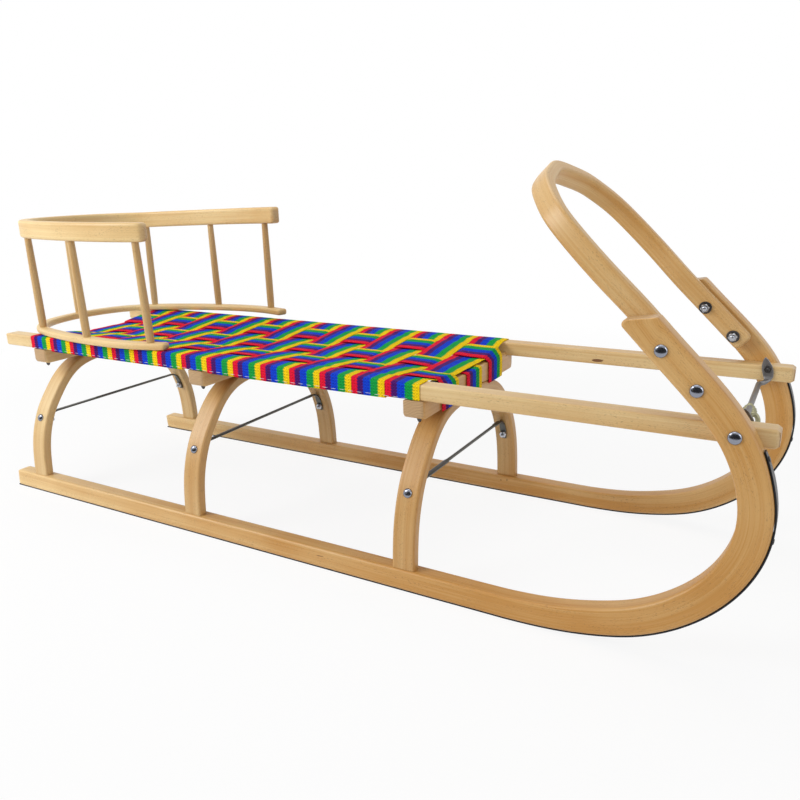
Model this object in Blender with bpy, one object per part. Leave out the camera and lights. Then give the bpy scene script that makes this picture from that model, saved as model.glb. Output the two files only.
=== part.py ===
# Wooden sled with horns, a woven strap seat and a child's backrest.
# Metres. +X points to the front (the horns), +Y to the left, +Z up, the floor is z = 0.

import math

import bmesh
import bpy
import numpy as np

for thing in list(bpy.data.objects):
    bpy.data.objects.remove(thing, do_unlink=True)

# sizes that drive the rest
gap = 0.0003            # left between two pieces that touch
halfLength = 0.5996     # rear tip of the seat rails to the middle
runnerOut = 0.1845      # outer face of a runner at the floor, from the middle plane
runnerWide = 0.0235     # runner, across
runnerDeep = 0.0265     # runner, height of its straight part
hornDeep = 0.0325       # runner, depth in the bend and the horn
lean = 0.0640           # how far a runner leans in, per metre of height
shoeThick = 0.0020
shoeWide = 0.0180
shoeTop = 0.2460        # height at which the shoe ends on the bend
railWide = 0.0230
railTall = 0.0195
railBottom = 0.2403
archWide = 0.0310       # an arch, along X
archThick = 0.0148
beamWide = 0.0300       # a crossbeam, along X
beamBottom = 0.2166
beamTop = 0.2450        # a crossbeam between the rails
beamPast = 0.0020       # a crossbeam's end beyond the rail
beamRound = (0.0135, 0.0095)    # rounding of its lower corners, across and up
tieZ = 0.1300           # height of the tie rods
tieR = 0.0020
tabLow = 0.0970         # lower end of a tie's tab
tabThick = 0.0022
strapThick = 0.0014
strapCount = 15
strapGap = 0.0030       # between two straps side by side
sag = 0.0090            # how deep the seat hangs in the middle
endDip = 0.0040         # how much deeper its first and last strap hang
longStrapWide = 0.0500
hoopWide = 0.0245
hoopThick = 0.0160
backTall = {"bottom": 0.0107, "top": 0.0275}
backWide = 0.0180
backTopZ = 0.4190       # underside of the backrest's upper rail
backSplay = 0.0020      # how far the upper rail stands outside the lower one
backRise = 0.0095       # how far the left arm climbs to its tip
backShort = {"bottom": 0.0080, "top": 0.0220}   # how much sooner the right arm ends
spindleR = 0.0056
towR = 0.0028
ringR = 0.0100          # tow ring, centre line

runnerZ = shoeThick + gap               # underside of the wooden runner
runnerTop = runnerZ + runnerDeep
railTop = railBottom + railTall
railOut = runnerOut - runnerWide - lean * railTop - gap     # outer face of a seat rail
railIn = railOut - railWide
railFront = halfLength - 0.0061
strapZ = railTop + gap                  # underside of a strap on a rail
backZ = strapZ + strapThick + gap       # underside of the backrest
archX = {
    "rear": -halfLength + 0.0906,
    "middle": -halfLength + 0.4391,
    "front": halfLength - 0.4041,
}
seatRear = archX["rear"] - 0.0175       # rear edge of the woven seat
seatFront = archX["front"] + 0.0095
# an outer long strap, from the middle: the room left beside it is shared 0.53 to 0.47
longStrapAt = longStrapWide + 0.53 * (railIn - 1.5 * longStrapWide)
longStrapY = (-longStrapAt, 0.0, longStrapAt)
diagonal = math.sqrt(0.5)               # the horns and the hoop lean back at 45 degrees

woods = {
    "runner": (0.62, 0.42, 0.21),
    "frame": (0.66, 0.46, 0.24),
    "seat": (0.70, 0.50, 0.27),
    "back": (0.68, 0.48, 0.25),
}
darkSteel = {"colour": (0.08, 0.08, 0.08), "rough": 0.4, "metal": 0.9}
greySteel = {"colour": (0.35, 0.35, 0.36), "rough": 0.35, "metal": 0.9}
webbing = {"colour": (0.04, 0.10, 0.65), "rough": 0.8, "smooth": False}


def material(name, colour, rough=0.55, metal=0.0):
    made = bpy.data.materials.new(name)
    made.use_nodes = True
    shader = made.node_tree.nodes["Principled BSDF"]
    shader.inputs["Base Color"].default_value = (*colour, 1.0)
    shader.inputs["Roughness"].default_value = rough
    shader.inputs["Metallic"].default_value = metal
    return made


def addMesh(name, verts, faces, colour, rough=0.55, metal=0.0, smooth=True):
    mesh = bpy.data.meshes.new(name)
    mesh.from_pydata([tuple(float(c) for c in v) for v in verts], [], faces)
    mesh.validate()
    mesh.materials.append(material(name, colour, rough, metal))
    item = bpy.data.objects.new(name, mesh)
    bpy.context.collection.objects.link(item)
    if smooth:
        mesh.polygons.foreach_set("use_smooth", [True] * len(mesh.polygons))
        mesh.set_sharp_from_angle(angle=math.radians(35))
    work = bmesh.new()
    work.from_mesh(mesh)
    bmesh.ops.triangulate(work, faces=[f for f in work.faces if len(f.verts) > 4])
    bmesh.ops.recalc_face_normals(work, faces=work.faces)
    work.to_mesh(mesh)
    work.free()


# A natural cubic curve through the points, cut into even steps of its length.
def curve(points, steps):
    p = np.asarray(points, float)
    t = np.r_[0, np.cumsum(np.linalg.norm(np.diff(p, axis=0), axis=1))]
    n = len(p)
    h = np.diff(t)
    a = np.zeros((n, n))
    b = np.zeros((n, p.shape[1]))
    a[0, 0] = a[-1, -1] = 1
    for i in range(1, n - 1):
        a[i, i - 1:i + 2] = h[i - 1], 2 * (h[i - 1] + h[i]), h[i]
        b[i] = 6 * ((p[i + 1] - p[i]) / h[i] - (p[i] - p[i - 1]) / h[i - 1])
    m = np.linalg.solve(a, b)

    def at(s):
        k = np.clip(np.searchsorted(t, s) - 1, 0, n - 2)
        u = ((s - t[k]) / h[k])[:, None]
        w = 1 - u
        hk = h[k][:, None]
        bend = (w ** 3 - w) * m[k] + (u ** 3 - u) * m[k + 1]
        return w * p[k] + u * p[k + 1] + hk ** 2 / 6 * bend

    fine = at(np.linspace(0, t[-1], 1500))
    run = np.r_[0, np.cumsum(np.linalg.norm(np.diff(fine, axis=0), axis=1))]
    even = np.linspace(0, run[-1], steps)
    return np.stack([np.interp(even, run, fine[:, i]) for i in range(p.shape[1])], 1)


# Rings of equal point count, joined into one closed skin: with flat ends, or into a loop.
def loft(name, rings, closed=False, **look):
    rings = np.asarray(rings, float)
    m, n = rings.shape[:2]
    faces = []
    for i in range(m if closed else m - 1):
        for j in range(n):
            k = (j + 1) % n
            h = (i + 1) % m
            faces.append((i * n + j, i * n + k, h * n + k, h * n + j))
    if not closed:
        faces.append(tuple(range(n - 1, -1, -1)))
        faces.append(tuple((m - 1) * n + j for j in range(n)))
    addMesh(name, rings.reshape(-1, 3), faces, **look)


# A rectangle w by h about (0, 0) with its corners cut by c.
def cutBox(w, h, c):
    a, b = w / 2, h / 2
    return np.array([(-a + c, -b), (a - c, -b), (a, -b + c), (a, b - c),
                     (a - c, b), (-a + c, b), (-a, b - c), (-a, -b + c)])


def circle(r, n):
    ang = np.arange(n) * 2 * math.pi / n + math.pi / n
    return np.stack([r * np.cos(ang), r * np.sin(ang)], 1)


def unit(v):
    v = np.asarray(v, float)
    return v / np.maximum(np.linalg.norm(v, axis=-1, keepdims=True), 1e-12)


# Rings along a path: each section point (u, v) goes to path + u * side + v * over,
# where over is square to the path and to side.
def sweep(path, side, sections):
    path = np.asarray(path, float)
    run = unit(np.gradient(path, axis=0))
    side = np.broadcast_to(np.asarray(side, float), path.shape)
    over = unit(np.cross(run, side))
    sections = np.asarray(sections, float)
    if sections.ndim == 2:
        sections = np.broadcast_to(sections, (len(path), *sections.shape))
    return path[:, None] + sections[..., :1] * side[:, None] + sections[..., 1:] * over[:, None]


# runners: straight, bent up at the front and back into the horns
straightZ = runnerZ + runnerDeep / 2
runnerRear = -halfLength + 0.0276
bendPath = [
    # centre line: distance behind the front end, height, depth of the runner there
    (0.3596, straightZ, runnerDeep),
    (0.2596, straightZ + 0.0003, runnerDeep),
    (0.2010, 0.0203, 0.0285),
    (0.1616, 0.0275, 0.0305),
    (0.1254, 0.0380, 0.0318),
    (0.0753, 0.0664, hornDeep),
    (0.0510, 0.0894, hornDeep),
    (0.0341, 0.1134, hornDeep),
    (0.0222, 0.1420, hornDeep),
    (0.0180, 0.1725, hornDeep),
    (0.0262, 0.2173, hornDeep),
    (0.0435, 0.2535, hornDeep),
    (0.0733, 0.2900, hornDeep),
    (0.1166, 0.3330, hornDeep),
    (0.1236, 0.3400, hornDeep),
]
bend = curve([(halfLength - back, z, deep) for back, z, deep in bendPath], 44)
bend[:, 1] = np.maximum(bend[:, 1], straightZ)
tail = [(runnerRear, straightZ, runnerDeep), (runnerRear + 0.0080, straightZ, runnerDeep)]
runnerLine = np.vstack([tail, bend])
runnerMid = runnerOut - runnerWide / 2
runnerPath = np.stack([runnerLine[:, 0], np.full(len(runnerLine), runnerMid), runnerLine[:, 1]], 1)
edgeCut = 0.0022

# the horn's slanting top end: its sharp corners as x and z, each one's angle in degrees and radius
hornRear = {"at": (halfLength - 0.1644, 0.3578), "angle": 53, "r": 0.0050}
hornFront = {"at": (halfLength - 0.1243, 0.3637), "angle": 127, "r": 0.0040}
endSlices = (0.0080, 0.0040, 0.0018, 0.0006, 0.0)


def leanIn(points, way):
    points = np.array(points, float)
    points[..., 1] = way * (points[..., 1] - lean * points[..., 2])
    return points


# How far in from a sharp corner its rounded outline is, at a depth under the cut face.
def inset(depth, corner):
    half = math.radians(corner["angle"]) / 2
    tangent = corner["r"] / math.tan(half)
    if depth >= tangent * math.sin(2 * half):
        return depth / math.tan(2 * half)
    return tangent - math.sqrt(corner["r"] ** 2 - (corner["r"] - depth) ** 2)


# The rings of the horn's end: slices at rising heights, level with the slanting cut.
def hornEnd():
    rear = np.array(hornRear["at"])
    front = np.array(hornFront["at"])
    along = unit(front - rear)
    down = np.array((along[1], -along[0]))
    rings = []
    for depth in endSlices:
        a = rear + down * depth + along * inset(depth, hornRear)
        b = front + down * depth - along * inset(depth, hornFront)
        ring = []
        for u, v in cutBox(runnerWide, hornDeep, edgeCut):
            x, z = b + (a - b) * (0.5 + v / hornDeep)
            ring.append((x, runnerMid + u, z))
        rings.append(ring)
    return rings


def runner(side, way):
    secs = [cutBox(runnerWide, d, edgeCut) for d in runnerLine[:, 2]]
    secs[0] = cutBox(runnerWide * 0.72, runnerDeep * 0.62, edgeCut)
    rings = np.concatenate([sweep(runnerPath, (0, 1, 0), secs), hornEnd()])
    loft("runner_" + side, leanIn(rings, way), colour=woods["runner"])


# shoes: steel strips under the runners and up the bend
def shoe(side, way):
    count = int(np.argmax(runnerLine[:, 1] > shoeTop))
    run = unit(np.gradient(runnerPath, axis=0))
    over = np.cross(run, (0, 1, 0))
    under = (runnerPath - over * (runnerLine[:, 2:3] / 2 + gap + shoeThick / 2))[:count]
    secs = [cutBox(shoeWide, shoeThick, shoeThick * 0.2) for _ in under]
    secs[0] = secs[-1] = cutBox(shoeWide * 0.6, shoeThick, shoeThick * 0.2)
    loft("shoe_" + side, leanIn(sweep(under, (0, 1, 0), secs), way), **darkSteel)


# arches: bent strips that stand on the runners and carry the crossbeams
archFoot = runnerTop + gap
archSpread = runnerOut - runnerWide / 2 - 0.0003
archHalf = [
    # centre line: share of the half spread at the foot, height
    (1.0000, archFoot),
    (0.9872, 0.0640),
    (0.9623, 0.0910),
    (0.9130, 0.1180),
    (0.8551, 0.1385),
    (0.7623, 0.1610),
    (0.6928, 0.1755),
    (0.5971, 0.1910),
    (0.4667, 0.2040),
    (0.2319, 0.2120),
    (0.0000, 0.2135),
]
archRight = [(-share * archSpread, z) for share, z in archHalf]
archLine = curve(archRight + [(-y, z) for y, z in archRight[-2::-1]], 41)
archPath = np.stack([np.zeros(len(archLine)), archLine[:, 0], archLine[:, 1]], 1)
archUp = unit(np.cross((1, 0, 0), unit(np.gradient(archPath, axis=0))))


def arch(name, x):
    rings = sweep(archPath + (x, 0, 0), (1, 0, 0), cutBox(archWide, archThick, 0.0018))
    for ring in (rings[0], rings[-1]):
        ring[:, 2] = archFoot
    loft("arch_" + name, rings, colour=woods["frame"])


# height of the arch's upper face at a distance y from the middle
def archTop(y):
    outer = archPath + archUp * archThick / 2
    order = np.argsort(outer[:, 1])
    return np.interp(y, outer[order, 1], outer[order, 2])


# distance from the middle to the arch's inner face at height z
def innerArch(z):
    inner = (archPath - archUp * archThick / 2)[archLine[:, 0] > 0]
    order = np.argsort(inner[:, 2])
    return float(np.interp(z, inner[order, 2], inner[order, 1]))


# crossbeams: cut out for the arch below and for the rails on top
def beam(name, x):
    end = railOut + beamPast
    inner = railIn - gap
    top = railBottom - gap
    meet = [y for y in np.linspace(0.11, 0.0, 23) if archTop(y) + gap > beamBottom]
    right = [(end, top)]
    for turn in np.linspace(0, math.pi / 2, 5):
        across, up = beamRound[0] * (1 - math.cos(turn)), beamRound[1] * (1 - math.sin(turn))
        right.append((end - across, beamBottom + up))
    right += [(y, archTop(y) + gap) for y in meet]
    under = right[1:] + [(-y, z) for y, z in right[-2:0:-1]]
    over = [(-end, top), (-inner, top), (-inner, beamTop), (inner, beamTop), (inner, top), (end, top)]
    outline = under + over
    n = len(outline)
    verts = [(x + s * beamWide / 2, y, z) for s in (-1, 1) for y, z in outline]
    faces = [tuple(range(n - 1, -1, -1)), tuple(range(n, 2 * n))]
    faces += [(i, (i + 1) % n, n + (i + 1) % n, n + i) for i in range(n)]
    addMesh("beam_" + name, verts, faces, woods["frame"], smooth=False)


# tie rods across the arches: a round rod whose ends are beaten flat and bent down the legs
tabRows = [
    # height, half width along X, half thickness
    (tabLow, 0.0034, tabThick / 2),
    (tabLow + 0.0030, 0.0052, tabThick / 2),
    (tabLow + 0.0170, 0.0050, tabThick / 2),
    (tieZ - 0.0080, 0.0034, tabThick * 0.6),
]


def tie(name, x):
    rows = [(innerArch(z) - gap - 1.2 * thick, z, wide, thick) for z, wide, thick in tabRows]
    reach = innerArch(tieZ)
    rows += [(reach - 0.0052, tieZ - 0.0012, tieR * 1.1, tieR), (reach - 0.0130, tieZ, tieR, tieR)]
    rows += [(-y, z, wide, thick) for y, z, wide, thick in rows[::-1]]
    path = [(x, y, z) for y, z, wide, thick in rows]
    secs = [circle(1, 8) * (wide, thick) for y, z, wide, thick in rows]
    loft("tie_" + name, sweep(path, (1, 0, 0), secs), **darkSteel)


# seat rails
def rail(side, way):
    sec = cutBox(railWide, railTall, 0.0015)
    mid = way * (railOut - railWide / 2)
    z = railBottom + railTall / 2
    stops = [
        # place along the rail, share of the full section
        (-halfLength, 0.55),
        (-halfLength + 0.0040, 0.85),
        (-halfLength + 0.0110, 1.0),
        (railFront - 0.0042, 1.0),
        (railFront, 0.77),
    ]
    rings = [[(x, mid + a * k, z + b * k) for a, b in sec] for x, k in stops]
    loft("rail_" + side, rings, colour=woods["seat"])


# seat straps: across over both rails, and lengthwise woven through them
pitch = (seatFront - seatRear) / strapCount
rise = strapThick / 2 + gap * 0.75
crossHalf = longStrapWide * 0.52    # half the flat part of a cross strap at a long strap
onRail = strapZ + strapThick / 2


# height of the middle of cross strap number i at y: it hangs between the rails
def hang(i, y):
    near = max(0.0, 1 - min(i, strapCount - 1 - i) / 2)
    return onRail - (sag + endDip * near ** 2) * np.clip(1 - (np.asarray(y, float) / railIn) ** 2, 0, 1)


# +1 where the cross strap number i passes over the long strap j, else -1
def passesOver(i, j):
    return 1 if (i + j) % 2 == 1 else -1


def crossStrap(i):
    x0 = seatRear + pitch * i + strapGap / 2
    x1 = x0 + pitch - strapGap
    over = []
    for j, mid in enumerate(longStrapY):
        for y in (mid - crossHalf, mid + crossHalf):
            over.append((y, float(hang(i, y)) + passesOver(i, j) * rise))
    out = railOut + gap + strapThick / 2
    low = railBottom - gap - strapThick / 2
    turn = railIn - 0.0005
    under = railOut - railWide * 0.8
    right = [(turn, onRail), (out, onRail), (out, low), (under, low)]
    # over a crossbeam the strap stops at the rail's lower edge
    reach = beamWide / 2 + gap
    if any(x1 > x - reach and x0 < x + reach for x in archX.values()):
        right = [(turn, onRail), (out, onRail), (out, railBottom + 0.0010)]
    left = [(-y, z) for y, z in right[::-1]]
    path = [(0, y, z) for y, z in left + over + right]
    ribbon("strap_%02d" % (i + 1), path, (1, 0, 0), x0, x1)


# A band of even thickness along a bent path in the plane square to across, from a to b across it.
# At each point of the path its edge b is raised by tip and its edge a lowered by as much.
def ribbon(name, path, across, a, b, tips=0.0):
    path = np.array(path, float)
    across = np.array(across, float)
    run = unit(np.diff(path, axis=0))
    normal = np.cross(run, across)
    before = np.vstack([normal[:1], normal])
    after = np.vstack([normal, normal[-1:]])
    mitre = before + after
    mitre /= (mitre * before).sum(1)[:, None]
    half = mitre * strapThick / 2
    lift = np.outer(np.broadcast_to(tips, len(path)), (0, 0, 1))
    corners = [path + half + across * a - lift, path + half + across * b + lift,
               path - half + across * b + lift, path - half + across * a - lift]
    loft(name, np.stack(corners, 1), **webbing)


def longStrap(j):
    mid = longStrapY[j]
    rows = []
    for i in range(strapCount):
        low, high = hang(i, [mid - crossHalf, mid + crossHalf])
        level = (low + high) / 2 - passesOver(i, j) * rise
        tip = (high - low) / 2 / crossHalf * longStrapWide / 2
        x = seatRear + pitch * (i + 0.5)
        half = (pitch - strapGap) / 2 + gap
        rows += [(x - half, level, tip), (x + half, level, tip)]
    past = gap + strapThick / 2
    rear = min(archX["rear"] - beamWide / 2, seatRear) - past
    front = max(archX["front"] + beamWide / 2, seatFront) + past
    low = beamBottom + 0.0040
    # behind the first strap it turns down at once, before the last it drops to the crossbeam
    rows[0] = (rear, rows[0][1], rows[0][2])
    rows = [(rear, low, rows[0][2])] + rows + [(front, beamTop + past, 0.0), (front, low, 0.0)]
    path = [(x, 0, z) for x, z, tip in rows]
    ribbon("long_strap_" + ("right", "middle", "left")[j], path, (0, 1, 0),
           mid - longStrapWide / 2, mid + longStrapWide / 2, [tip for x, z, tip in rows])


# hoop between the horns
hoopAt = (halfLength - 0.1171, 0.3325)      # x and z of its middle at the upper bolt
hoopLap = (-0.0690, 0.0000, 0.0520)         # places along its leg that lie on the horn
hoopHalf = [
    # outer half width as a share of that at the upper bolt, distance up the lean from it
    (1.0060, 0.0850),
    (1.0100, 0.1100),
    (0.9863, 0.1500),
    (0.9230, 0.1800),
    (0.7800, 0.2050),
    (0.6470, 0.2205),
    (0.3400, 0.2370),
    (0.0000, 0.2465),
]


def hoopLeg(v):
    return runnerOut - runnerWide - 2 * gap - lean * (hoopAt[1] + v * diagonal)


def hoop():
    half = [(-hoopLeg(v), v) for v in hoopLap]
    half += [(-share * hoopLeg(0), v) for share, v in hoopHalf]
    outer = curve(half + [(-y, v) for y, v in half[-2::-1]], 57)
    flat = np.stack([outer[:, 0], outer[:, 1], np.zeros(len(outer))], 1)
    run = unit(np.gradient(flat, axis=0))
    inward = np.stack([run[:, 1], -run[:, 0]], 1)
    mid = outer + inward * hoopThick / 2
    path = np.stack([hoopAt[0] - diagonal * mid[:, 1], mid[:, 0], hoopAt[1] + diagonal * mid[:, 1]], 1)
    secs = [cutBox(hoopWide, hoopThick, edgeCut) for _ in path]
    secs[0] = secs[-1] = cutBox(hoopWide * 0.74, hoopThick * 0.8, edgeCut)
    rings = sweep(path, (diagonal, 0, diagonal), secs)
    # its legs lean with the horns they lie against
    turn = np.clip(path[:, 1] / hoopLeg(hoopLap[-1]), -1, 1)[:, None]
    rings[..., 1] -= turn * lean * (rings[..., 2] - path[:, None, 2])
    loft("hoop", rings, colour=woods["runner"])


# tow bar: a steel rod between the seat rails with an upright plate at each end, and a ring below
towX = halfLength - 0.0451
towZ = 0.2385
plateX = halfLength - 0.0366
plateRows = [
    # x, distance from the rail, height, half width along X, half thickness
    (plateX, 0.0013, 0.2690, 0.0045, 0.0013),
    (plateX, 0.0013, 0.2665, 0.0068, 0.0013),
    (plateX, 0.0013, 0.2490, 0.0068, 0.0013),
    (plateX - 0.0015, 0.0016, 0.2440, 0.0052, 0.0015),
    (plateX - 0.0060, 0.0056, 0.2395, towR * 1.15, towR * 0.9),
    (towX, 0.0130, towZ, towR, towR),
]


def towBar():
    face = railIn - gap
    rows = [(x, face - off, z, wide, thick) for x, off, z, wide, thick in plateRows]
    rows += [(x, -y, z, wide, thick) for x, y, z, wide, thick in rows[::-1]]
    path = [row[:3] for row in rows]
    secs = [circle(1, 10) * row[3:] for row in rows]
    loft("tow_bar", sweep(path, (1, 0, 0), secs), **greySteel)


def towRing():
    turn = np.arange(28) * 2 * math.pi / 28
    out = np.stack([np.cos(turn), np.zeros(28), np.sin(turn)], 1)
    centre = np.array((towX, 0, towZ - 2 * towR - gap - ringR))
    sec = circle(towR, 10)
    rings = centre + out[:, None] * (ringR + sec[:, :1]) + sec[:, 1:] * np.array((0, 1, 0))
    loft("tow_ring", rings, closed=True, **greySteel)


# backrest: two bent rails with seven spindles between them
backHalf = [
    # outer edge in plan: distance ahead of the rear end, share of the seat rails' half width
    (0.0026, 0.000),
    (0.0082, 0.312),
    (0.0236, 0.590),
    (0.0476, 0.784),
    (0.0796, 0.923),
    (0.1156, 0.996),
    (0.1816, 1.079),
    (0.2356, 1.110),
    (0.2996, 1.100),
    (0.3446, 1.048),
    (0.3876, 0.954),
]
backPlan = [(-halfLength + ahead, share * railOut) for ahead, share in backHalf]
backOuter = curve([(x, -y) for x, y in backPlan[::-1]] + backPlan[1:], 61)
climbRear = -halfLength + 0.0696        # where the left arm starts to climb
spindleRows = [
    # a pair's distance ahead of the rear end, how far back the right one's head stands
    (0.3506, 0.0045),
    (0.2186, 0.0),
    (0.0796, 0.0),
]


# the middle of a rail in plan, moved outwards by splay
def backLine(splay):
    flat = np.stack([backOuter[:, 0], backOuter[:, 1], np.zeros(len(backOuter))], 1)
    run = unit(np.gradient(flat, axis=0))
    inward = np.stack([run[:, 1], -run[:, 0]], 1)
    return backOuter + inward * (backWide / 2 - splay)


# raises the points of the left arm, more and more towards its tip
def climb(rings):
    rings = np.array(rings, float)
    share = np.clip((rings[..., 0] - climbRear) / (backPlan[-1][0] - climbRear), 0, 1)
    rings[..., 2] += backRise * share * (rings[..., 1] > 0)
    return rings


# a line without its first stretch of a given length
def shorten(line, by):
    run = np.r_[0, np.cumsum(np.linalg.norm(np.diff(line, axis=0), axis=1))]
    places = np.r_[by, run[run > by + 0.0040]]
    return np.stack([np.interp(places, run, line[:, i]) for i in range(line.shape[1])], 1)


def backRail(name, z, splay):
    mid = shorten(backLine(splay), backShort[name])
    tall = backTall[name]
    path = np.stack([mid[:, 0], mid[:, 1], np.full(len(mid), z + tall / 2)], 1)
    secs = [cutBox(tall, backWide, 0.0028) for _ in path]
    secs[0] = secs[-1] = cutBox(tall * 0.7, backWide * 0.6, 0.0022)
    loft("back_rail_" + name, climb(sweep(path, (0, 0, 1), secs)), colour=woods["back"])


def spindles():
    feet = backLine(0.0)
    heads = backLine(backSplay)
    middle = len(feet) // 2
    spots = [(feet[middle], heads[middle])]
    order = np.argsort(feet[middle:, 0])

    def onArm(line, x):
        k = np.interp(x, feet[middle:, 0][order], order)
        return np.array([np.interp(k, range(middle + 1), line[middle:, c]) for c in (0, 1)])

    for ahead, back in spindleRows:
        x = -halfLength + ahead
        spots.append((onArm(feet, x), onArm(heads, x)))
        spots.append((onArm(feet, x) * (1, -1), onArm(heads, x - back) * (1, -1)))
    low = backZ + backTall["bottom"] + gap
    high = backTopZ - gap
    for i, (foot, head) in enumerate(spots):
        rows = [(low, 1.15), (low + 0.012, 1.02), ((low + high) / 2, 1.06), (high - 0.008, 0.94), (high, 0.96)]
        rings = []
        for z, k in rows:
            x, y = foot + (head - foot) * (z - low) / (high - low)
            rings.append([(x + a * k, y + b * k, z) for a, b in circle(spindleR, 14)])
        loft("spindle_%d" % (i + 1), climb(rings), colour=woods["back"])


for side, way in (("left", 1), ("right", -1)):
    runner(side, way)
    shoe(side, way)
    rail(side, way)
for name, x in archX.items():
    arch(name, x)
    beam(name, x)
    tie(name, x)
for i in range(strapCount):
    crossStrap(i)
for j in range(len(longStrapY)):
    longStrap(j)
hoop()
towBar()
towRing()
backRail("bottom", backZ, 0.0)
backRail("top", backTopZ, backSplay)
spindles()
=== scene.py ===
import math

import bpy
import numpy as np
from mathutils import Matrix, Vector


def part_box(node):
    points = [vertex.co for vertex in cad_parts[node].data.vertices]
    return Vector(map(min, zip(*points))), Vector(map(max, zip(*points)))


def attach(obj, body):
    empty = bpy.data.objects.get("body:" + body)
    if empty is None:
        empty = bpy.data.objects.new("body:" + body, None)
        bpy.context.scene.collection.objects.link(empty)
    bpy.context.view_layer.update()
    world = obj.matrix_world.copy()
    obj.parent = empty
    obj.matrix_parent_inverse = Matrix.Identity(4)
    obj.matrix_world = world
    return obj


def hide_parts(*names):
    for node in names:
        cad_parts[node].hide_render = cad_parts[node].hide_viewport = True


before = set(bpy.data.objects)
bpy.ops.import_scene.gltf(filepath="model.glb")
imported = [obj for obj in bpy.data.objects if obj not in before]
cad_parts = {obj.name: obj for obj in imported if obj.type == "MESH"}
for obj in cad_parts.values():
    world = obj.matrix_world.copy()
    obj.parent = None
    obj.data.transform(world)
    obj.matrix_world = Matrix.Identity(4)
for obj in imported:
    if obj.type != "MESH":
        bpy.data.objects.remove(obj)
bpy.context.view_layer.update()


# lowest and highest corner of a CAD node
def span(node):
    low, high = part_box(node)
    return np.array(low), np.array(high)


# places read from the frame: the seat rails and arches
railLow, railHigh = span("rail_left")
halfLength = -railLow[0]
railIn, railOut = railLow[1], railHigh[1]
railBottom, railTop = railLow[2], railHigh[2]
archPlaces = {name: float(sum(corner[0] for corner in span("arch_" + name)) / 2)
              for name in ("rear", "middle", "front")}
joint = 0.0003          # hairline left where two pieces meet
lift = 0.00005          # how far a fastener's foot is off the face that it sits on
diagonal = math.sqrt(0.5)


# points from their coordinates, each an array or one number
def coords(*parts):
    return np.stack(np.broadcast_arrays(*parts), -1)


# directions in a plane, turned a quarter to the right
def rightOf(ahead):
    return coords(ahead[..., 1], -ahead[..., 0])


# the angles of so many points round a circle
def circle(count):
    return np.arange(count) * 2 * math.pi / count


# the points of one half, from its foot to the middle, and then of the other
def mirrored(half):
    return half + [(-y, z) for y, z in half[-2::-1]]


# lengths run so far along a line of points
def lengths(points):
    return np.r_[0, np.cumsum(np.linalg.norm(np.diff(points, axis=0), axis=1))]


def unit(v):
    return v / np.maximum(np.linalg.norm(v, axis=-1, keepdims=True), 1e-12)


# a table with a row for each point, read at other places along the line by straight steps
def readAt(table, places, at):
    table = np.asarray(table, float)
    return np.stack([np.interp(at, places, table[:, i]) for i in range(table.shape[1])], 1)


# a table read at even steps of its own length, from a start onwards
def evenly(table, steps, start=0.0):
    run = lengths(table)
    return readAt(table, run, np.linspace(start, run[-1], steps))


# A natural cubic curve through the points (second derivatives from one linear system, zero at
# both ends), read at even steps of its own length.
def smoothLine(points, steps):
    p = np.asarray(points, float)
    t = lengths(p)
    h = np.diff(t)
    n = len(p)
    inner = np.arange(1, n - 1)
    a = np.diag(np.r_[1.0, 2 * (h[:-1] + h[1:]), 1.0])
    a[inner, inner - 1] = h[:-1]
    a[inner, inner + 1] = h[1:]
    b = np.zeros_like(p)
    b[1:-1] = 6 * np.diff(np.diff(p, axis=0) / h[:, None], axis=0)
    m = np.linalg.solve(a, b)
    s = np.linspace(0, t[-1], steps * 4)
    k = np.clip(np.searchsorted(t, s) - 1, 0, n - 2)
    u = ((s - t[k]) / h[k])[:, None]
    w = 1 - u
    pull = (w ** 3 - w) * m[k] + (u ** 3 - u) * m[k + 1]
    return evenly(w * p[k] + u * p[k + 1] + (h[k] ** 2)[:, None] / 6 * pull, steps)


# Rectangles with round corners, one per station: each corner is a quarter circle, with a support
# point on the straight on either side so that the flat faces stay flat when shaded.
def roundSection(width, height, radius, arcSteps=5):
    sizes = [np.atleast_1d(np.asarray(v, float)) for v in (width, height, radius)]
    width, height, radius = np.broadcast_arrays(*sizes)
    radius = np.minimum(radius, np.minimum(width, height) * 0.49)
    support = np.minimum(0.0012, (np.minimum(width, height) / 2 - radius) * 0.6)[:, None]
    parts = []
    for quarter, (signU, signV) in enumerate(((1, 1), (-1, 1), (-1, -1), (1, -1))):
        angle = np.linspace(0, math.pi / 2, arcSteps) + quarter * math.pi / 2
        u = signU * (width / 2 - radius)[:, None] + radius[:, None] * np.cos(angle)
        v = signV * (height / 2 - radius)[:, None] + radius[:, None] * np.sin(angle)
        before = coords(u[:, :1] + support * math.sin(angle[0]), v[:, :1] - support * math.cos(angle[0]))
        after = coords(u[:, -1:] - support * math.sin(angle[-1]), v[:, -1:] + support * math.cos(angle[-1]))
        parts += [before, coords(u, v), after]
    return np.concatenate(parts, 1)


# An end's rows from its tip inwards: distance from the tip, and how far the section is drawn in
# there. A number is the radius of a quarter circle, a pair is a bevel's length and depth.
def endRows(end):
    if not end:
        return np.zeros((1, 2))
    if isinstance(end, tuple):
        return np.array(((0, 1), (0.07, 0.96), (0.2, 0.84), (0.86, 0.12), (1, 0))) * end
    arc = np.linspace(0, math.pi / 2, 6)
    return end * coords(1 - np.cos(arc), 1 - np.sin(arc))


# What a wooden surface carries, row by row: its place in the grain, along the piece and in its
# section, and how far it is a cut end.
def timber(along, section, cut):
    return {"grain": coords(along[:, None], section[..., 0], section[..., 1]),
            "cut": np.broadcast_to(cut[:, None], section.shape[:2])}


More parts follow.
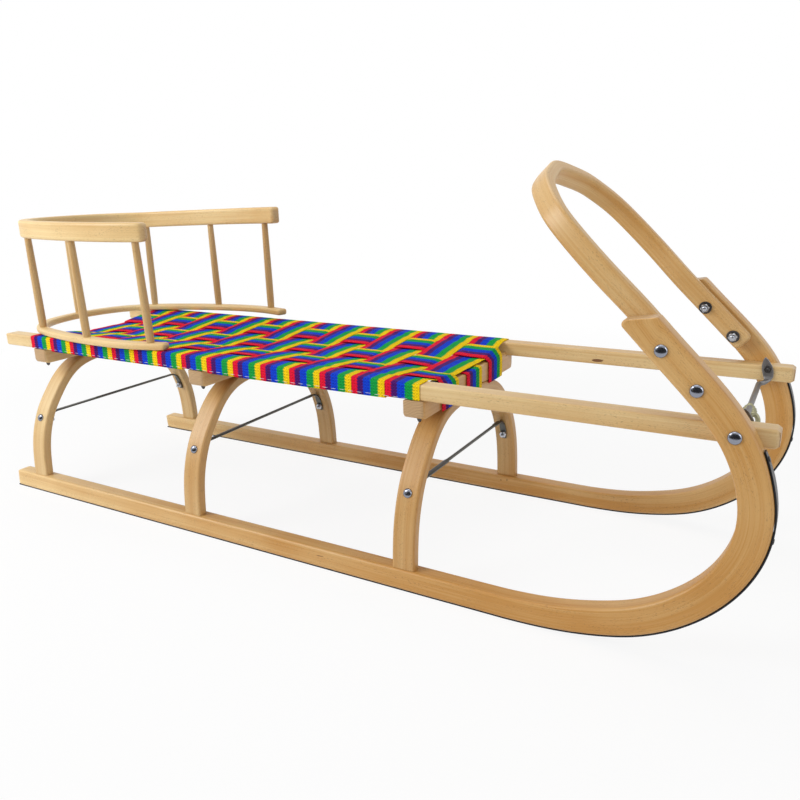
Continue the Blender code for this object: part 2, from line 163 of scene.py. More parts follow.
# A bar: a round-cornered rectangle carried along a path, its width along side and its height square
# to side and path, drawn in at the ends by their rows.
def bar(path, side, width, height, corner, ends=(0.002, 0.002), steps=200, arcSteps=5):
    path = np.asarray(path, float)
    run = lengths(path)
    first, last = endRows(ends[0]), endRows(ends[1])[::-1]
    plain = np.linspace(first[-1, 0], run[-1] - last[0, 0], steps)[1:-1]
    at = np.r_[first[:, 0], plain, run[-1] - last[:, 0]]
    shrink = np.r_[first[:, 1], 0 * plain, last[:, 1]]
    mid = readAt(path, run, at)
    ahead = unit(readAt(np.gradient(path, run, axis=0), run, at))
    wide = np.interp(at, run, np.broadcast_to(width, len(path))) - 2 * shrink
    high = np.interp(at, run, np.broadcast_to(height, len(path))) - 2 * shrink
    section = roundSection(wide, high, np.maximum(corner - shrink, corner * 0.15), arcSteps)
    side = np.broadcast_to(np.asarray(side, float), mid.shape)
    over = unit(np.cross(ahead, side))
    rings = mid[:, None] + section[..., :1] * side[:, None] + section[..., 1:] * over[:, None]
    cut = np.r_[first[:, 1] / max(first[0, 1], 1e-6), 0 * plain, last[:, 1] / max(last[-1, 1], 1e-6)]
    return {"rings": rings, "mid": mid, "fields": timber(at, section, cut)}


# A rod along a path with an oval section: `wide` is its half width along side, `thick` its half
# thickness. Where it is much wider than thick the oval grows square. Its ends are domed.
def rod(path, side, wide, thick, around=20):
    path, wide, thick = (np.asarray(v, float) for v in (path, wide, thick))
    ahead = unit(np.gradient(path, axis=0))
    side = np.broadcast_to(np.asarray(side, float), path.shape)
    over = unit(np.cross(ahead, side))
    dome = np.array((0.25, 0.72, 0.93))
    k = np.r_[dome, np.ones(len(path)), dome[::-1]]
    order = np.r_[np.zeros(3, int), np.arange(len(path)), np.full(3, len(path) - 1)]
    push = np.r_[-1.0, -0.72, -0.36, np.zeros(len(path)), 0.36, 0.72, 1.0] * thick[order] * 0.9
    angle = circle(around)
    power = np.clip(thick / wide, 0.35, 1.0)[order, None] ** 0.6
    u = np.sign(np.cos(angle)) * np.abs(np.cos(angle)) ** power * (wide[order] * k)[:, None]
    v = np.sign(np.sin(angle)) * np.abs(np.sin(angle)) ** power * (thick[order] * k)[:, None]
    middle = (path[order] + ahead[order] * push[:, None])[:, None]
    return {"rings": middle + u[..., None] * side[order][:, None] + v[..., None] * over[order][:, None]}


# A turned shape: the profile's rows (distance along the axis, radius) carried round the axis.
# With sides given, the radius is that of a regular prism, at most the profile's own.
def turned(centre, axis, profile, around=24, sides=0, flat=0.0):
    axis = unit(np.asarray(axis, float))
    first = unit(np.cross(axis, (0.31, 0.2, 0.93)))
    second = np.cross(axis, first)
    angle = circle(around)
    profile = np.asarray(profile, float)
    radius = np.repeat(profile[:, 1:], around, 1)
    if sides:
        step = 2 * math.pi / sides
        prism = flat / np.cos((angle + step / 2) % step - step / 2)
        radius = np.minimum(radius, prism[None])
    rings = (np.asarray(centre, float) + profile[:, None, :1] * axis
             + radius[..., None] * (np.cos(angle)[:, None] * first + np.sin(angle)[:, None] * second))
    section = radius[..., None] * coords(np.cos(angle), np.sin(angle))
    return {"rings": rings, "fields": timber(profile[:, 0], section, 0 * profile[:, 0])}


# fasteners, each a turned shape that stands on the point `at` along its axis
def domeHead(at, axis, radius, height):
    t = np.linspace(0, math.pi / 2 - 0.04, 10)
    rows = [(lift, radius * 0.97), (0.0004, radius)]
    rows += [(0.0006 + height * math.sin(a), radius * math.cos(a)) for a in t]
    return turned(at, axis, rows, 32)


def washer(at, axis, radius, thick):
    edge = 0.0002
    rows = [(lift, radius - edge), (edge, radius), (thick - edge, radius), (thick, radius - edge)]
    return turned(at, axis, rows, 32)


# a nut: a six-sided prism cut by a cone at both faces
def nut(at, axis, flat, high):
    wide = flat * 1.1547    # to the prism's corners
    rows = [(lift, flat), (0.0006, wide), (high - 0.0008, wide), (high, flat * 0.96), (high, flat * 0.7)]
    return turned(at, axis, rows, 48, 6, flat)


def boltEnd(at, axis, radius, long):
    return turned(at, axis, [(lift, radius), (long - 0.0007, radius), (long, radius * 0.7)], 20)


def addObject(name, data):
    item = bpy.data.objects.new(name, data)
    bpy.context.collection.objects.link(item)
    return item


# Puts grids of points into one mesh. A grid's rows are rings joined by four-sided faces, with a
# flat face on each open end. Its signed volume tells which way round its faces point outwards.
def putMesh(name, grids, finish, angle=40):
    verts, faces, fields, start = [], [], {}, 0
    for grid in grids:
        rings = grid["rings"]
        rows, count = rings.shape[:2]
        loop = grid.get("loop", False)
        i, j = np.meshgrid(np.arange(rows if loop else rows - 1), np.arange(count), indexing="ij")
        k, h = (j + 1) % count, (i + 1) % rows
        quads = np.stack([i * count + j, i * count + k, h * count + k, h * count + j], -1).reshape(-1, 4)
        caps = [] if loop else [np.arange(count)[::-1], (rows - 1) * count + np.arange(count)]
        flat = rings.reshape(-1, 3)
        a, b, c, d = (flat[quads[:, q]] - flat.mean(0) for q in range(4))
        if (a * (np.cross(b, c) + np.cross(c, d))).sum() < 0:
            quads, caps = quads[:, ::-1], [cap[::-1] for cap in caps]
        verts.append(flat)
        faces += (quads + start).tolist() + [(cap + start).tolist() for cap in caps]
        for key, value in grid.get("fields", {}).items():
            fields.setdefault(key, []).append(np.asarray(value, float).reshape(len(flat), -1))
        start += len(flat)
    mesh = bpy.data.meshes.new(name)
    mesh.from_pydata(np.concatenate(verts), [], faces)
    for key, parts in fields.items():
        values = np.concatenate(parts)
        kind, slot = ("FLOAT", "value") if values.shape[1] == 1 else ("FLOAT_VECTOR", "vector")
        mesh.attributes.new(key, kind, "POINT").data.foreach_set(slot, values.astype(np.float32).ravel())
    mesh.polygons.foreach_set("use_smooth", np.ones(len(mesh.polygons), bool))
    mesh.set_sharp_from_angle(angle=math.radians(angle))
    mesh.materials.append(finish)
    item = addObject(name, mesh)
    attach(item, "root")
    return item


# a metal piece carries no grain
def putMetal(name, grids, finish):
    for grid in grids:
        grid.pop("fields", None)
    return putMesh(name, grids, finish)


# a piece that stands for a CAD node, which is hidden
def standFor(item, node):
    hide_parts(node)
    return item


# a wooden piece: its grain starts at another place in the timber for each seed
def putWood(name, grid, finish, seed, node):
    grid["fields"]["grain"] = grid["fields"]["grain"] + seed * np.array((1.37, 0.091, 0.067))
    standFor(putMesh(name, [grid], finish), node)


# node trees: a node's inputs, each linked to a socket or set to a value
def fill(tree, node, inputs):
    for key, value in inputs.items():
        if isinstance(value, bpy.types.NodeSocket):
            tree.links.new(value, node.inputs[key])
        else:
            node.inputs[key].default_value = value


def addNode(tree, kind, inputs=None, **settings):
    made = tree.nodes.new("ShaderNode" + kind)
    for key, value in settings.items():
        setattr(made, key, value)
    fill(tree, made, inputs or {})
    return made


# sRGB 0 to 255 to the linear colour of a shader
def paint(r, g, b):
    c = np.array((r, g, b)) / 255
    return (*np.where(c <= 0.04045, c / 12.92, ((c + 0.055) / 1.055) ** 2.4).tolist(), 1.0)


def newFinish(name):
    made = bpy.data.materials.new(name)
    made.use_nodes = True
    tree = made.node_tree
    return made, tree, tree.nodes["Principled BSDF"]


def noise(tree, vector, scale, detail=2.0, rough=0.5):
    stretch = addNode(tree, "Mapping", {"Vector": vector, "Scale": scale})
    return addNode(tree, "TexNoise", {"Vector": stretch.outputs[0], "Scale": 1.0, "Detail": detail,
                                      "Roughness": rough}).outputs["Fac"]


def ramp(tree, value, stops, blend="LINEAR"):
    made = addNode(tree, "ValToRGB", {"Fac": value})
    made.color_ramp.interpolation = blend
    points = made.color_ramp.elements
    points.remove(points[1])
    points[0].position = stops[0][0]
    for place, colour in stops[1:]:
        points.new(place)
    for point, (place, colour) in zip(points, stops):
        point.color = colour if hasattr(colour, "__len__") else (colour, colour, colour, 1.0)
    return made.outputs["Color"]


def mix(tree, share, a, b, blend="MIX"):
    return addNode(tree, "Mix", {0: share, 6: a, 7: b}, data_type="RGBA", blend_type=blend).outputs[2]


def sums(tree, operation, *values):
    return addNode(tree, "Math", dict(enumerate(values)), operation=operation).outputs[0]


def sineWave(tree, along, length):
    return sums(tree, "SINE", sums(tree, "MULTIPLY", along, 2 * math.pi / length))


# a value's way from low to high, as a way from least to most
def slope(tree, value, low, high, least, most, kind="LINEAR"):
    inputs = {"Value": value, "From Min": low, "From Max": high, "To Min": least, "To Max": most}
    return addNode(tree, "MapRange", inputs, interpolation_type=kind).outputs[0]


def split(tree, vector):
    return addNode(tree, "SeparateXYZ", {"Vector": vector}).outputs


def bumped(tree, height, strength, distance=0.0003):
    return addNode(tree, "Bump", {"Height": height, "Strength": strength, "Distance": distance}).outputs[0]


# Lacquered beech. Colour runs from pale to warm by long streaks (noise stretched along the grain),
# wide soft bands and slow mottling; short dark flecks lie along the grain; cut ends are darker with
# growth rings as wavy lines.
beechLook = {
    "pale": paint(232, 206, 153), "warm": paint(197, 145, 75), "fleck": paint(112, 70, 36),
    "end": paint(204, 172, 128), "ring": paint(160, 122, 84), "ringPitch": 0.0019,
    # shares of the painted shade towards the middle of the sled and of the painted light up the horns
    "warmShadeAhead": 0.42, "paintedLightUp": 0.0,
    "roughness": 0.44, "coat": 0.12, "coatRoughness": 0.28, "bump": 0.10,
}


def beech(name, look=beechLook, toneAndShade=(1.0, 1.0, 1.0)):
    made, tree, shader = newFinish(name)
    grain = addNode(tree, "Attribute", attribute_name="grain").outputs["Vector"]
    cut = addNode(tree, "Attribute", attribute_name="cut").outputs["Fac"]
    place = addNode(tree, "TexCoord").outputs["Object"]
    streaks = noise(tree, grain, (4.0, 520.0, 520.0), 4.0, 0.7)
    bands = noise(tree, grain, (2.2, 90.0, 90.0), 2.0)
    mottle = noise(tree, place, (9.0, 9.0, 9.0), 2.0)
    share = sums(tree, "MULTIPLY_ADD", streaks, 0.9, sums(tree, "MULTIPLY", bands, 0.9))
    share = sums(tree, "MULTIPLY_ADD", mottle, 0.6, share)
    share = sums(tree, "SUBTRACT", share, 0.88)
    # painted shade and light: the wood turns darker and warmer from the rear of the sled to its middle, a
    # painted shade where the light falls off, and paler up the horns, a painted light from above
    spot = split(tree, place)
    ahead = slope(tree, spot[0], -0.5, 0.0, 0.0, look["warmShadeAhead"])
    above = slope(tree, spot[2], 0.12, 0.30, 0.0, look["paintedLightUp"])
    share = sums(tree, "ADD", share, sums(tree, "SUBTRACT", ahead, above))
    pale, warm, end, ring = (tuple(c * t for c, t in zip(look[key], (*toneAndShade, 1.0)))
                             for key in ("pale", "warm", "end", "ring"))
    colour = mix(tree, share, pale, warm)
    flecks = ramp(tree, noise(tree, grain, (330.0, 1900.0, 1900.0), 1.0), [(0.62, 0.0), (0.70, 1.0)])
    zones = ramp(tree, noise(tree, grain, (16.0, 90.0, 90.0), 2.0), [(0.40, 0.10), (0.64, 0.55)])
    colour = mix(tree, sums(tree, "MULTIPLY", flecks, zones), colour, look["fleck"])
    wavy = noise(tree, grain, (0.0, 90.0, 90.0), 2.0)
    level = sums(tree, "MULTIPLY_ADD", wavy, 0.004, split(tree, grain)[1])
    rings = sineWave(tree, level, look["ringPitch"])
    colour = mix(tree, cut, colour, ramp(tree, rings, [(0.1, end), (0.9, ring)]))
    fine = sums(tree, "SUBTRACT", streaks, sums(tree, "MULTIPLY", flecks, 0.5))
    fill(tree, shader, {"Base Color": colour, "Normal": bumped(tree, fine, look["bump"]),
                        "Roughness": look["roughness"], "Coat Weight": look["coat"],
                        "Coat Roughness": look["coatRoughness"]})
    return made


# Metal, or with metallic 0 thread and a knot: one colour, darker by at most `patch` in fine
# scratches along the piece and in slow patches.
def metal(name, colour, roughness, metallic=1.0, patch=0.35):
    made, tree, shader = newFinish(name)
    place = addNode(tree, "TexCoord").outputs["Object"]
    patches = noise(tree, place, (60.0, 60.0, 60.0), 3.0)
    lines = noise(tree, place, (40.0, 1200.0, 1200.0), 2.0)
    share = sums(tree, "MULTIPLY_ADD", lines, 0.5, sums(tree, "MULTIPLY", patches, 0.5))
    dark = tuple(c * (1 - patch) for c in colour[:3]) + (1.0,)
    spread = sums(tree, "MULTIPLY_ADD", patches, 0.25, roughness - 0.12)
    fill(tree, shader, {"Base Color": mix(tree, share, dark, colour), "Metallic": metallic,
                        "Roughness": spread, "Normal": bumped(tree, lines, 0.05)})
    return made


# Webbing: five stripes by the share of the width, their borders toothed by a zigzag along the
# length; the weave is ribs across the strap, cut by fine columns along it, raised and shaded alike.
webLook = {
    "stripes": (    # colour, share of the width: red, purple, blue, green and yellow
        ((236, 16, 54), 0.185), ((76, 16, 108), 0.175), ((4, 64, 212), 0.225),
        ((12, 162, 68), 0.230), ((255, 214, 10), 0.185)),
    "blur": 0.012, "tooth": 0.036, "toothLength": 0.0038, "rib": 0.0038, "column": 0.0040, "bump": 1.0,
}


def webbing(name, look=webLook):
    made, tree, shader = newFinish(name)
    web = addNode(tree, "Attribute", attribute_name="web").outputs["Vector"]
    parts = split(tree, web)
    zigzag = sums(tree, "PINGPONG", parts[1], look["toothLength"] / 2)
    zigzag = sums(tree, "MULTIPLY", zigzag, 2 * look["tooth"] / look["toothLength"])
    share = sums(tree, "SUBTRACT", sums(tree, "ADD", parts[0], zigzag), look["tooth"] / 2)
    stops, place, blur = [], 0.0, look["blur"]
    for colour, wide in look["stripes"]:
        stops += [(max(place + blur, 0), paint(*colour)), (place + wide - blur, paint(*colour))]
        place += wide
    colour = ramp(tree, share, stops)
    ribs = sineWave(tree, parts[1], look["rib"])
    columns = sineWave(tree, parts[2], look["column"])
    weave = sums(tree, "MULTIPLY", ribs, columns)
    height = sums(tree, "MULTIPLY_ADD", weave, 0.6, sums(tree, "MULTIPLY", ribs, 0.4))
    threads = noise(tree, web, (30.0, 900.0, 400.0), 2.0)
    shade = sums(tree, "MULTIPLY_ADD", height, 0.32, sums(tree, "MULTIPLY_ADD", threads, 0.30, 0.80))
    shading = addNode(tree, "CombineColor", {0: shade, 1: shade, 2: shade}).outputs[0]
    fill(tree, shader, {"Base Color": mix(tree, 1.0, colour, shading, "MULTIPLY"), "Roughness": 0.75,
                        "Specular IOR Level": 0.15, "Normal": bumped(tree, height, look["bump"], 0.0007)})
    return made


# each piece's beech is scaled by its own factor, partly the piece's own tone and partly painted light and
# shade: lighter for the hoop and the backrest, where the light falls, and darker for the spindles, in shade
runnerBeech = {**beechLook, "warm": paint(192, 140, 68), "warmShadeAhead": 0.56, "paintedLightUp": 0.08}
runnerWood = beech("beech runner", runnerBeech, (1.05, 1.01, 0.94))
hoopWood = beech("beech hoop", toneAndShade=(1.06, 1.08, 1.10))
frameWood = beech("beech frame", toneAndShade=(0.94, 0.91, 0.87))
railWood = beech("beech rail", {**beechLook, "warmShadeAhead": 0.16}, (1.02, 1.04, 1.06))
backWood = beech("beech backrest", toneAndShade=(1.06, 1.08, 1.06))
spindleWood = beech("beech spindle", toneAndShade=(0.86, 0.82, 0.78))
blackSteel = metal("black steel", paint(50, 50, 54), 0.42, 0.7)
rodSteel = metal("rod steel", paint(100, 100, 96), 0.40, 0.85)
greySteel = metal("grey steel", paint(136, 134, 134), 0.42, 0.8)
zinc = metal("bright zinc", paint(198, 202, 210), 0.30, patch=0.25)
chrome = metal("polished zinc", paint(150, 154, 166), 0.16, patch=0.2)
screwSteel = metal("screw steel", paint(90, 88, 88), 0.38)
weld = metal("weld bead", paint(168, 164, 132), 0.42, 0.7)
webs = webbing("striped webbing")
thread = metal("white thread", paint(206, 206, 216), 0.7, 0.0, patch=0.1)
knotWood = metal("knot", paint(134, 90, 50), 0.6, 0.0, patch=0.4)
print("finishes made")

# runners: a straight part, a bend and a horn that ends in a slanting cut
runnerLook = {
    "out": 0.1845, "wide": 0.0235, "deep": 0.0265, "lean": 0.0640, "corner": 0.0035, "rearRound": 0.0095,
    "rear": -halfLength + 0.0276,
    "bend": [   # distance behind the front end, height, depth
        (0.3596, 0.01555, 0.0265), (0.2596, 0.01585, 0.0265), (0.2010, 0.0203, 0.0285),
        (0.1616, 0.0275, 0.0305), (0.1254, 0.0380, 0.0318), (0.0753, 0.0664, 0.0325),
        (0.0510, 0.0894, 0.0325), (0.0341, 0.1134, 0.0325), (0.0222, 0.1420, 0.0325),
        (0.0180, 0.1725, 0.0325), (0.0262, 0.2173, 0.0325), (0.0435, 0.2535, 0.0325),
        (0.0733, 0.2900, 0.0325), (0.1166, 0.3330, 0.0325), (0.1236, 0.3400, 0.0325)],
    "tipRear": {"at": (halfLength - 0.1644, 0.3578), "angle": 53, "r": 0.0050},
    "tipFront": {"at": (halfLength - 0.1243, 0.3637), "angle": 127, "r": 0.0040},
    "tipEdge": 0.0018,
}


# leans a runner's points in with height and puts it on its side of the sled
def leanIn(rings, way):
    rings = np.array(rings)
    rings[..., 1] = way * (rings[..., 1] - runnerLook["lean"] * rings[..., 2])
    return rings


# how far from the middle a runner's outer face is at a height, or a plane at a depth inside it
def runnerFace(z, depth=0.0):
    return runnerLook["out"] - depth - runnerLook["lean"] * z


# how far in from a sharp corner its rounded outline is, at a depth under the cut
def cornerInset(depth, corner):
    half = math.radians(corner["angle"]) / 2
    tangent = corner["r"] / math.tan(half)
    onArc = tangent - np.sqrt(np.maximum(corner["r"] ** 2 - (corner["r"] - depth) ** 2, 0))
    return np.where(depth >= tangent * math.sin(2 * half), depth / math.tan(2 * half), onArc)


# the horn's end: slices level with the cut, from deep to the cut face, each a round-cornered
# rectangle whose height runs from the front edge to the rear edge at that depth
def hornTip(mid):
    depth = np.array((0.0100, 0.0080, 0.0060, 0.0045, 0.0032, 0.0022, 0.0014, 0.0008, 0.0003, 0.0))
    rear, front = np.array(runnerLook["tipRear"]["at"]), np.array(runnerLook["tipFront"]["at"])
    along = unit(front - rear)
    down = rightOf(along)
    a = rear + depth[:, None] * down + along * cornerInset(depth, runnerLook["tipRear"])[:, None]
    b = front + depth[:, None] * down - along * cornerInset(depth, runnerLook["tipFront"])[:, None]
    edge = runnerLook["tipEdge"]
    thin = edge - np.sqrt(edge ** 2 - np.maximum(edge - depth, 0) ** 2)
    high = np.linalg.norm(a - b, axis=1)
    section = roundSection(runnerLook["wide"] - 2 * thin, high, runnerLook["corner"] - thin)
    share = 0.5 + section[..., 1:] / high[:, None, None]
    point = b[:, None] + (a - b)[:, None] * share
    return coords(point[..., 0], mid + section[..., 0], point[..., 1]), section


bendTable = smoothLine([(halfLength - back, z, deep) for back, z, deep in runnerLook["bend"]], 400)
bendTable[:, 1] = np.maximum(bendTable[:, 1], runnerLook["bend"][0][1])
runnerTable = np.vstack([[(runnerLook["rear"], *runnerLook["bend"][0][1:])], bendTable])
runnerMid = runnerLook["out"] - runnerLook["wide"] / 2
runnerLine = coords(runnerTable[:, 0], runnerMid, runnerTable[:, 1])
runnerOver = np.cross(unit(np.gradient(runnerLine, lengths(runnerLine), axis=0)), (0, 1, 0))


# the runner's line moved to its under side and so far beyond
def underRunner(beyond):
    return runnerLine - runnerOver * (runnerTable[:, 2:3] / 2 + beyond)


def makeRunner(side, way, seed):
    grid = bar(runnerLine, (0, 1, 0), runnerLook["wide"], runnerTable[:, 2], runnerLook["corner"],
               (runnerLook["rearRound"], None), 260)
    tip, section = hornTip(runnerMid)
    far = grid["fields"]["grain"][-1, 0, 0] + np.linspace(0.004, 0.022, len(tip))
    end = timber(far, section, np.r_[np.zeros(len(tip) - 2), 0.6, 1.0])
    grid["rings"] = leanIn(np.concatenate([grid["rings"], tip]), way)
    grid["fields"] = {key: np.concatenate([grid["fields"][key], end[key]]) for key in end}
    putWood("sled_runner_" + side, grid, runnerWood, seed, "runner_" + side)


# shoes: steel strips under the runners and up the bend, narrowing at the top
shoeLook = {"wide": 0.0180, "thick": 0.0020, "top": {"left": 0.2460, "right": 0.2360}, "narrowing": 0.0300}


def makeShoe(side, way):
    under = underRunner(joint + shoeLook["thick"] / 2)
    under = under[:int(np.argmax(runnerTable[:, 1] > shoeLook["top"][side]))]
    run = lengths(under)
    wide = shoeLook["wide"] * np.interp(run[-1] - run, (0, shoeLook["narrowing"]), (0.5, 1.0))
    grid = bar(under, (0, 1, 0), wide, shoeLook["thick"], 0.0006, (0.0008, 0.0008), 240, 3)
    grid["rings"] = leanIn(grid["rings"], way)
    standFor(putMesh("steel_shoe_" + side, [grid], blackSteel), "shoe_" + side)


for side, way in (("left", 1), ("right", -1)):
    makeRunner(side, way, 1 + way)
    makeShoe(side, way)
print("runners and shoes made")

# hoop between the horns, its plane leaning back at 45 degrees
hoopLook = {
    "wide": 0.0245, "thick": 0.0160, "corner": 0.0034, "at": (halfLength - 0.1171, 0.3325),
    "lap": (-0.0690, 0.0, 0.0520), "end": 0.0065,
    "half": [   # outer half width as a share of that at the upper bolt, distance up the lean from it
        (1.0060, 0.0850), (1.0100, 0.1100), (0.9863, 0.1500), (0.9230, 0.1800),
        (0.7800, 0.2050), (0.6470, 0.2205), (0.3400, 0.2370), (0.0000, 0.2465)],
}


# how far from the middle the hoop's outer face is, at a distance up the lean
def hoopLeg(v):
    return runnerFace(hoopLook["at"][1] + v * diagonal, runnerLook["wide"] + 2 * joint)


# the outline is moved in by half the thickness and laid on the leaning plane, then the legs are
# sheared sideways with height so that they lie against the horns
def makeHoop():
    half = [(-hoopLeg(v), v) for v in hoopLook["lap"]]
    half += [(-share * hoopLeg(0), v) for share, v in hoopLook["half"]]
    outer = smoothLine(mirrored(half), 500)
    mid = outer + rightOf(unit(np.gradient(outer, axis=0))) * hoopLook["thick"] / 2
    x, z = hoopLook["at"]
    path = coords(x - diagonal * mid[:, 1], mid[:, 0], z + diagonal * mid[:, 1])
    grid = bar(path, (diagonal, 0, diagonal), hoopLook["wide"], hoopLook["thick"], hoopLook["corner"],
               (hoopLook["end"], hoopLook["end"]), 260)
    turn = np.clip(grid["mid"][:, 1] / hoopLeg(hoopLook["lap"][-1]), -1, 1)[:, None]
    rings = grid["rings"]
    rings[..., 1] -= turn * runnerLook["lean"] * (rings[..., 2] - grid["mid"][:, None, 2])
    putWood("steering_hoop", grid, hoopWood, 5, "hoop")


makeHoop()

# arches: bent strips that stand on the runners
archLook = {
    "wide": 0.0310, "thick": 0.0148, "corner": 0.0032, "foot": 0.0291, "spread": 0.17245,
    "half": [   # share of the half spread at the foot, height
        (1.0000, 0.0291), (0.9872, 0.0640), (0.9623, 0.0910), (0.9130, 0.1180), (0.8551, 0.1385),
        (0.7623, 0.1610), (0.6928, 0.1755), (0.5971, 0.1910), (0.4667, 0.2040), (0.2319, 0.2120),
        (0.0000, 0.2135)],
}
archSide = [(-share * archLook["spread"], z) for share, z in archLook["half"]]
archLine = smoothLine(mirrored(archSide), 400)
archPath = coords(0.0, archLine[:, 0], archLine[:, 1])
archUp = unit(np.cross((1, 0, 0), unit(np.gradient(archPath, axis=0))))


# the arch's surface at a height on its left leg: distance from the middle, and the outward direction
def archFace(z, sign):
    face = (archPath + sign * archUp * archLook["thick"] / 2)[archLine[:, 0] > 0]
    up = archUp[archLine[:, 0] > 0]
    order = np.argsort(face[:, 2])
    return (float(np.interp(z, face[order, 2], face[order, 1])),
            np.array([np.interp(z, face[order, 2], up[order, i]) for i in range(3)]))


def archTop(y):
    outer = archPath + archUp * archLook["thick"] / 2
    order = np.argsort(outer[:, 1])
    return np.interp(y, outer[order, 1], outer[order, 2])


def makeArch(name, x, seed):
    grid = bar(archPath + (x, 0, 0), (1, 0, 0), archLook["wide"], archLook["thick"], archLook["corner"],
               (None, None), 160)
    grid["rings"][[0, -1], :, 2] = archLook["foot"]
    putWood("bent_arch_" + name, grid, frameWood, seed, "arch_" + name)


# crossbeams: an outline in the cross plane (cut out for the arch below and the rails above)
# carried along X, drawn in by the edge's radius at both faces
beamLook = {
    "wide": 0.0300, "bottom": 0.2166, "top": 0.2450, "past": 0.0020, "round": 0.0065,
    "edge": 0.0018, "endEdge": 0.0045,
}


def beamOutline():
    end, inner, top = railOut + beamLook["past"], railIn - joint, railBottom - joint
    r, low = beamLook["round"], beamLook["bottom"]
    turn = np.linspace(0, math.pi / 2, 7)
    corner = coords(end - r + r * np.cos(turn), low + r - r * np.sin(turn))
    across = np.linspace(0.12, 0.0, 40)
    meet = [(y, z + joint) for y, z in zip(across, archTop(across)) if z + joint > low]
    right = np.vstack([[(end, top)], corner, [(0.1195, low)], meet])
    over = [(-end, top), (-inner, top), (-inner, beamLook["top"]), (inner, beamLook["top"]), (inner, top)]
    return np.vstack([right, right[-2::-1] * (-1, 1), over[1:]])


def makeBeam(name, x, seed):
    outline = beamOutline()
    normal = rightOf(unit(np.roll(outline, -1, 0) - outline))
    mitre = normal + np.roll(normal, 1, 0)
    mitre /= np.maximum((mitre * normal).sum(1), 0.5)[:, None]
    area = (outline[:, 0] * np.roll(outline[:, 1], -1) - outline[:, 1] * np.roll(outline[:, 0], -1)).sum()
    mitre *= np.sign(area)
    turn = np.linspace(0, math.pi / 2, 6)
    near = np.clip((np.abs(outline[:, 0]) - railOut + 0.004) / 0.004, 0, 1)
    edge = beamLook["edge"] + (beamLook["endEdge"] - beamLook["edge"]) * near
    inset = np.r_[1 - np.sin(turn), 1 - np.sin(turn[::-1])][:, None] * edge
    arc = (1 - np.cos(turn))[:, None] * edge
    step = np.concatenate([arc, beamLook["wide"] - arc[::-1]])
    flat = outline - mitre * inset[..., None]
    xs = x - beamLook["wide"] / 2 + step
    y, z = flat[..., 0], flat[..., 1]
    ends = (np.abs(y) > railOut + beamLook["past"] - 0.0012).astype(float)
    grid = {"rings": coords(xs, y, z), "fields": {"grain": coords(y, z, xs - x), "cut": ends}}
    putWood("cross_beam_" + name, grid, frameWood, seed, "beam_" + name)


for number, (name, x) in enumerate(archPlaces.items()):
    makeArch(name, x, 7 + 2 * number)
    makeBeam(name, x, 8 + 2 * number)
print("hoop, arches and crossbeams made")

# seat rails
railLook = {"corner": 0.0022, "ends": (0.0095, (0.0042, 0.0026))}


def makeRail(side, way, seed):
    y, z = way * (railIn + railOut) / 2, (railBottom + railTop) / 2
    path = np.linspace((railLow[0], y, z), (railHigh[0], y, z), 20)
    grid = bar(path, (0, 1, 0), railOut - railIn, railTop - railBottom, railLook["corner"],
               railLook["ends"], 40)
    putWood("seat_rail_" + side, grid, railWood, seed, "rail_" + side)


makeRail("left", 1, 17)
makeRail("right", -1, 18)

# backrest: two bent rails with seven spindles between them; the left arm climbs towards its tip
backLook = {
    "wide": 0.0180, "corner": 0.0038, "ends": (0.0080, 0.0080), "splay": 0.0020, "climb": 0.0095,
    "short": {"bottom": 0.0080, "top": 0.0220},     # cut off the right tips
    "longer": {"bottom": 0.0045, "top": 0.0},       # added to the left tips
    "climbFrom": -halfLength + 0.0696, "low": (0.2618, 0.0107), "high": (0.4190, 0.0275),
    "half": [   # distance ahead of the rear end, share of the seat rails' half width
        (0.0026, 0.000), (0.0082, 0.312), (0.0236, 0.590), (0.0476, 0.784), (0.0796, 0.923), (0.1156, 0.996),
        (0.1816, 1.079), (0.2356, 1.110), (0.2996, 1.100), (0.3446, 1.048), (0.3876, 0.954)],
    "spindles": {   # foot and head ahead of the rear end
        1: ((0.3526, 0.3486), (0.2186, 0.2146), (0.0796, 0.0796)),
        -1: ((0.3506, 0.3461), (0.2226, 0.2186), (0.0796, 0.0796))},
    "spindleRadius": 0.0056,
}
backSide = [(-halfLength + ahead, share * railOut) for ahead, share in backLook["half"]]
backOuter = smoothLine([(x, -y) for x, y in backSide[::-1]] + backSide[1:], 600)


def backLine(splay):
    return backOuter + rightOf(unit(np.gradient(backOuter, axis=0))) * (backLook["wide"] / 2 - splay)


def climb(grid):
    rings = grid["rings"]
    share = np.clip((rings[..., 0] - backLook["climbFrom"]) / (backSide[-1][0] - backLook["climbFrom"]), 0, 1)
    rings[..., 2] += backLook["climb"] * share * (rings[..., 1] > 0)
    return grid


def makeBackRail(name, place, splay, seed):
    z, tall = place
    mid = backLine(splay)
    mid = mid[lengths(mid) >= backLook["short"][name]]
    mid = np.vstack([mid, mid[-1] + unit(mid[-1] - mid[-2]) * (backLook["longer"][name] + 0.0001)])
    path = coords(mid[:, 0], mid[:, 1], z + tall / 2)
    ends = tuple(min(end, tall * 0.45) for end in backLook["ends"])
    grid = bar(path, (0, 0, 1), tall, backLook["wide"], min(backLook["corner"], tall * 0.42), ends, 240)
    putWood("backrest_rail_" + name, climb(grid), backWood, seed, "back_rail_" + name)


